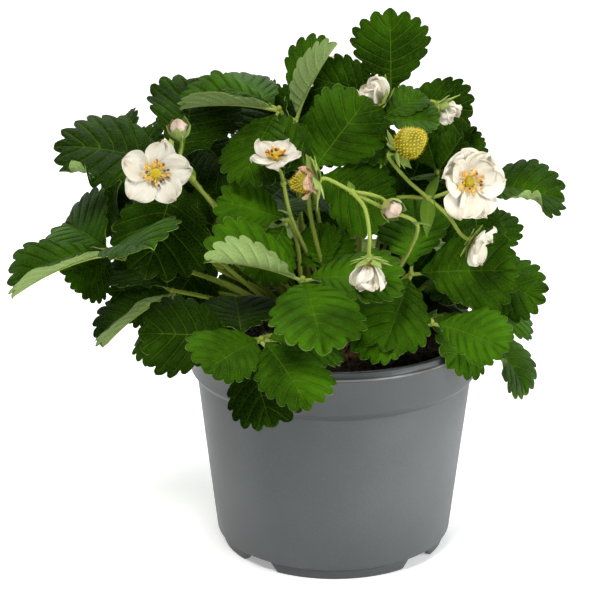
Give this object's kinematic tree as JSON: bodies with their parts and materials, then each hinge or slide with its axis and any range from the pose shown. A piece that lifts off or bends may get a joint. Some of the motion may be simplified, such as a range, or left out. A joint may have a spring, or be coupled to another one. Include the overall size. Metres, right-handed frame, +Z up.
{
  "type": "potted strawberry plant",
  "caption": "Strawberry plant with toothed trifoliate leaves, white flowers, buds and young berries, growing in soil in a round tapered plastic nursery pot with a rolled rim and low feet.",
  "frame": {"origin": "on the ground under the middle of the whole plant's width and depth; the pot's axis stands 19 mm to +X and 5 mm to -Y of it", "axes": "+Z up, -Y towards the viewer of the picture, +X to the viewer's right"},
  "size_m": [0.239, 0.213, 0.2341],
  "materials": {
    "pot": "satin grey plastic with a fine moulded texture",
    "soil": "moist dark crumbly potting soil",
    "crown": "rough brown woody stock",
    "leaf": "deep green, slightly glossy above and paler below, with pressed veins",
    "stalk": "light green, finely hairy",
    "petal": "soft warm white",
    "stamen": "yellow with brown anthers",
    "bud": "closed petals, white to pinkish brown",
    "berry": "unripe yellow green with dark seeds"
  },
  "bodies": {
    "root": {"pot": "pot", "soil": "soil", "leaf_left_high": "leaf", "leaf_left_mid": "leaf", "leaf_left_low": "leaf", "leaf_front_left": "leaf", "leaf_front_rim": "leaf", "leaf_front_mid": "leaf", "leaf_front_right": "leaf", "leaf_right_rim": "leaf", "leaf_right_front": "leaf", "leaf_right_low": "leaf", "leaf_right_mid": "leaf", "leaf_top_right": "leaf", "leaf_top_mid": "leaf", "leaf_top_left": "leaf", "leaf_centre": "leaf", "leaf_inner_right": "leaf", "leaf_inner_left": "leaf", "leaf_back_left_high": "leaf", "leaf_back_high": "leaf", "leaf_back_right_high": "leaf", "leaf_back_right": "leaf", "leaf_back_left": "leaf", "leaf_back_low": "leaf", "leaf_back_low_left": "leaf", "leaf_behind_left": "leaf", "leaf_behind_right": "leaf", "leaf_side_left": "leaf", "leaf_behind_middle": "leaf", "leaf_far_left": "leaf", "truss_left": "stalk", "truss_middle": "stalk", "truss_right": "stalk", "truss_top": "stalk", "truss_inner": "stalk", "truss_back": "stalk", "crown": "crown", "bloom_left_petals": "petal", "bloom_left_middle": "stamen", "bloom_inner_petals": "petal", "bloom_inner_middle": "stamen", "bloom_right_petals": "petal", "bloom_right_middle": "stamen", "bloom_right_low_petals": "petal", "bloom_right_low_middle": "stamen", "bloom_hanging_petals": "petal", "bloom_top_petals": "petal", "bloom_top_small_petals": "petal", "bloom_back_petals": "petal", "bloom_back_middle": "stamen", "bud_left": "bud", "bud_middle": "bud", "bud_back": "bud", "bud_left_small": "bud", "berry_small": "berry", "berry_large": "berry"}
  },
  "joints": []
}
